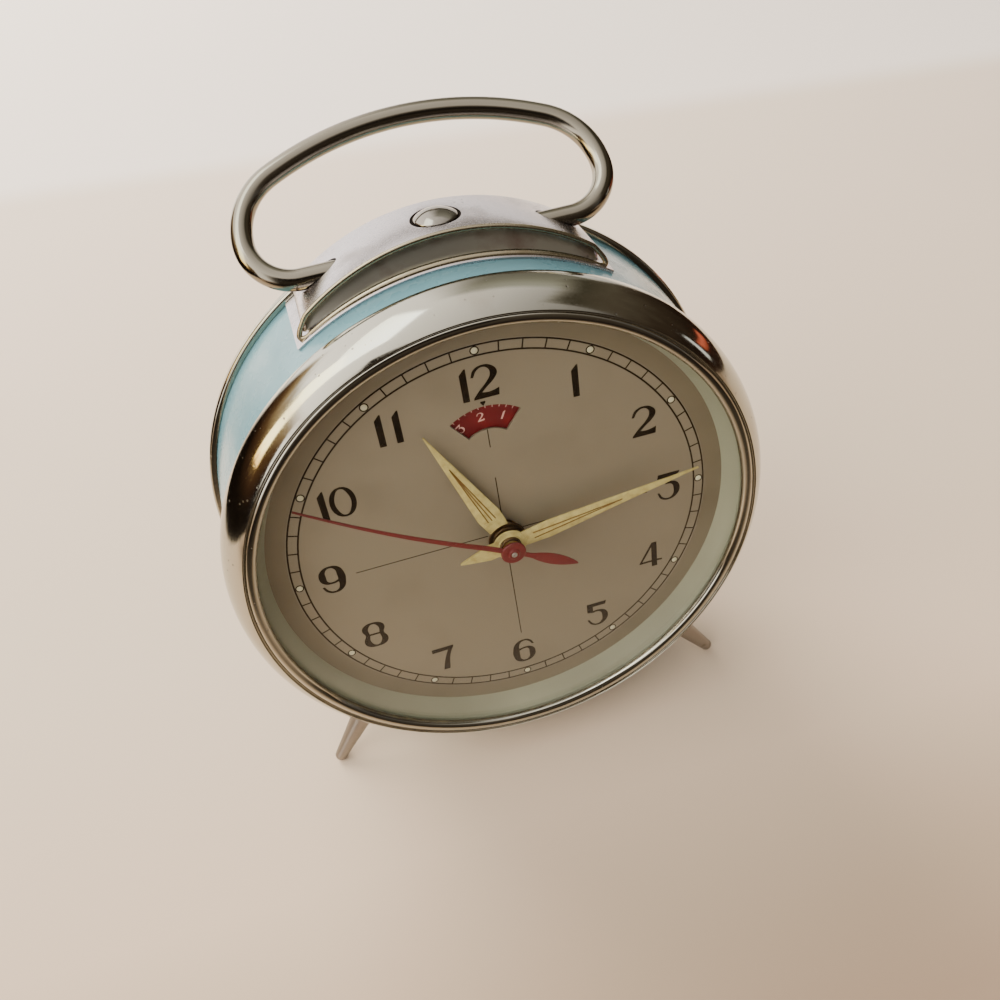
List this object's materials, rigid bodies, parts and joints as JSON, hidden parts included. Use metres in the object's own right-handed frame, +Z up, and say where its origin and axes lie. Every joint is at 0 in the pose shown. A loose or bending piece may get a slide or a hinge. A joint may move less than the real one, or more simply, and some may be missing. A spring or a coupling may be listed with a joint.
{
  "type": "wind-up alarm clock",
  "caption": "Round wind-up alarm clock with a bail handle, top stop button, domed glass, a hand-set alarm disc, winding keys and two splayed front feet.",
  "frame": {"origin": "centre of the clock's bounding box on the surface that it stands on", "axes": "+Z up, -Y towards the viewer that the dial faces, +X to the right of the dial"},
  "size_m": [0.112, 0.0694, 0.1255],
  "materials": {
    "blue_paint": "light blue gloss enamel",
    "chrome": "pitted bright chrome",
    "bright_wire": "bright plated wire",
    "glass": "clear glass",
    "cream_paint": "greenish cream paint",
    "dial_silver": "satin silver lacquer",
    "grey_steel": "dull grey steel",
    "steel": "plain steel",
    "spring_steel": "blued spring steel",
    "nickel": "nickel plate",
    "brass": "plain brass",
    "bell_steel": "bell steel",
    "alarm_red": "dark red lacquer",
    "lume_cream": "cream lume on bronze",
    "hand_red": "red lacquer"
  },
  "bodies": {
    "case": {"case_drum": "blue_paint", "front_bezel": "chrome", "crystal": "glass", "inner_ring": "cream_paint", "dial_plate": "dial_silver", "rear_rim": "chrome", "rear_cover": "blue_paint", "cover_screw_1": "steel", "cover_screw_2": "steel", "cover_screw_3": "steel", "saddle": "chrome", "saddle_rivets": "steel", "foot_left": "grey_steel", "foot_right": "grey_steel", "foot_nuts": "steel", "front_plate": "brass", "back_plate": "brass", "pillar_1": "brass", "pillar_2": "brass", "pillar_3": "brass", "pillar_4": "brass", "plate_nuts": "steel", "bell": "bell_steel", "balance_screw": "steel", "hairspring": "spring_steel", "time_mainspring": "spring_steel", "alarm_mainspring": "spring_steel", "button_spring": "steel"},
    "handle": {"handle": "bright_wire"},
    "stop_button": {"stop_button": "chrome"},
    "stop_lever": {"stop_lever": "steel"},
    "setting_arbor": {"set_arbor": "steel", "set_knob": "nickel"},
    "cannon": {"cannon_pinion": "brass", "minute_hand": "lume_cream"},
    "minute_wheel": {"minute_wheel": "brass"},
    "hour_wheel": {"hour_wheel": "brass", "hour_hand": "lume_cream"},
    "alarm_wheel": {"alarm_wheel": "brass"},
    "alarm_setting": {"alarm_arbor": "steel", "alarm_disc": "alarm_red", "alarm_knob": "nickel"},
    "seconds_arbor": {"fourth_wheel": "brass", "second_hand": "hand_red"},
    "third_wheel": {"third_wheel": "brass"},
    "centre_wheel": {"centre_wheel": "brass"},
    "time_great_wheel": {"time_great_wheel": "brass", "time_click": "steel"},
    "time_winder": {"time_winding_arbor": "steel", "time_key": "nickel"},
    "escape_wheel": {"escape_wheel": "brass"},
    "pallet_fork": {"pallet_fork": "steel"},
    "balance": {"balance_wheel": "brass"},
    "regulator": {"regulator_lever": "brass"},
    "alarm_great_wheel": {"alarm_great_wheel": "brass", "alarm_click": "steel"},
    "alarm_winder": {"alarm_winding_arbor": "steel", "alarm_key": "nickel"},
    "alarm_escape_wheel": {"alarm_escape_wheel": "brass"},
    "hammer": {"hammer": "steel"}
  },
  "joints": [
    {"name": "handle_pivot", "type": "hinge", "parent": "case", "child": "handle", "pos_m": [0, 0.01025, 0.10924], "axis": [1, 0, 0], "range_deg": [-58, 122]},
    {"name": "stop_button_press", "type": "slide", "parent": "case", "child": "stop_button", "axis": [0, -0.1833, -0.9831], "range_m": [0, 0.002], "stiffness_N_per_m": 900, "springref_m": -0.0006, "deforming": ["button_spring"]},
    {"name": "stop_lever_turn", "type": "hinge", "parent": "case", "child": "stop_lever", "pos_m": [0.014, -0.01052, 0.10152], "axis": [0, 0.9831, -0.1833], "range_deg": [-8.2, 0]},
    {"name": "hand_setting", "type": "hinge", "parent": "case", "child": "setting_arbor", "pos_m": [-0.02663, -0.01766, 0.06324], "axis": [0, 0.9831, -0.1833], "continuous": true},
    {"name": "minute_hand", "type": "hinge", "parent": "case", "child": "cannon", "pos_m": [0, -0.01822, 0.06023], "axis": [0, 0.9831, -0.1833], "continuous": true},
    {"name": "minute_wheel_turn", "type": "hinge", "parent": "case", "child": "minute_wheel", "pos_m": [-0.01392, -0.0189, 0.0566], "axis": [0, 0.9831, -0.1833], "continuous": true},
    {"name": "hour_hand", "type": "hinge", "parent": "case", "child": "hour_wheel", "pos_m": [0, -0.01822, 0.06023], "axis": [0, 0.9831, -0.1833], "continuous": true},
    {"name": "alarm_wheel_turn", "type": "hinge", "parent": "case", "child": "alarm_wheel", "pos_m": [0, -0.01471, 0.07908], "axis": [0, 0.9831, -0.1833], "continuous": true},
    {"name": "alarm_set", "type": "hinge", "parent": "case", "child": "alarm_setting", "pos_m": [0, -0.01471, 0.07908], "axis": [0, 0.9831, -0.1833], "continuous": true},
    {"name": "seconds_hand", "type": "hinge", "parent": "case", "child": "seconds_arbor", "pos_m": [0, -0.01822, 0.06023], "axis": [0, 0.9831, -0.1833], "continuous": true},
    {"name": "third_wheel_turn", "type": "hinge", "parent": "case", "child": "third_wheel", "pos_m": [-0.01114, -0.01679, 0.0679], "axis": [0, 0.9831, -0.1833], "continuous": true},
    {"name": "centre_wheel_turn", "type": "hinge", "parent": "case", "child": "centre_wheel", "pos_m": [-0.02663, -0.01766, 0.06324], "axis": [0, 0.9831, -0.1833], "continuous": true},
    {"name": "time_great_wheel_turn", "type": "hinge", "parent": "case", "child": "time_great_wheel", "pos_m": [-0.02049, -0.02134, 0.0435], "axis": [0, 0.9831, -0.1833], "continuous": true},
    {"name": "time_winding", "type": "hinge", "parent": "time_great_wheel", "child": "time_winder", "pos_m": [-0.02049, -0.02134, 0.0435], "axis": [0, 0.9831, -0.1833], "continuous": true},
    {"name": "escape_wheel_turn", "type": "hinge", "parent": "case", "child": "escape_wheel", "pos_m": [0.01091, -0.01938, 0.05404], "axis": [0, 0.9831, -0.1833], "continuous": true},
    {"name": "balance_swing", "type": "hinge", "parent": "case", "child": "balance", "pos_m": [0.02745, -0.02113, 0.04465], "axis": [0, 0.9831, -0.1833], "range_deg": [-120, 120], "stiffness_Nm_per_rad": 0.0000106},
    {"name": "pallet_fork_swing", "type": "hinge", "parent": "case", "child": "pallet_fork", "pos_m": [0.01836, -0.02017, 0.04981], "axis": [0, 0.9831, -0.1833], "range_deg": [-5, 5]},
    {"name": "regulator_turn", "type": "hinge", "parent": "case", "child": "regulator", "pos_m": [0.02745, -0.02113, 0.04465], "axis": [0, 0.9831, -0.1833], "range_deg": [-18, 18]},
    {"name": "alarm_great_wheel_turn", "type": "hinge", "parent": "case", "child": "alarm_great_wheel", "pos_m": [0.024, -0.01437, 0.08088], "axis": [0, 0.9831, -0.1833], "continuous": true},
    {"name": "alarm_winding", "type": "hinge", "parent": "alarm_great_wheel", "child": "alarm_winder", "pos_m": [0.024, -0.01437, 0.08088], "axis": [0, 0.9831, -0.1833], "continuous": true},
    {"name": "alarm_escape_wheel_turn", "type": "hinge", "parent": "case", "child": "alarm_escape_wheel", "pos_m": [0.00853, -0.01287, 0.08893], "axis": [0, 0.9831, -0.1833], "continuous": true},
    {"name": "hammer_swing", "type": "hinge", "parent": "case", "child": "hammer", "pos_m": [-0.0012, -0.01245, 0.0912], "axis": [0, 0.9831, -0.1833], "range_deg": [-1.8, 10]}
  ],
  "couplings": [
    {"joint": "minute_wheel_turn", "follows": "hand_setting", "ratio": -0.33333},
    {"joint": "minute_hand", "follows": "hand_setting", "ratio": 1},
    {"joint": "hour_hand", "follows": "hand_setting", "ratio": 0.083333},
    {"joint": "alarm_wheel_turn", "follows": "hand_setting", "ratio": -0.083333},
    {"joint": "third_wheel_turn", "follows": "seconds_hand", "ratio": -0.13333},
    {"joint": "centre_wheel_turn", "follows": "seconds_hand", "ratio": 0.016667},
    {"joint": "time_great_wheel_turn", "follows": "seconds_hand", "ratio": -0.0027778},
    {"joint": "escape_wheel_turn", "follows": "seconds_hand", "ratio": -8},
    {"joint": "alarm_escape_wheel_turn", "follows": "alarm_great_wheel_turn", "ratio": -6},
    {"joint": "pallet_fork_swing", "follows": "balance_swing", "ratio": -0.041667},
    {"joint": "stop_lever_turn", "follows": "stop_button_press", "rad_per_m": -71.429}
  ]
}
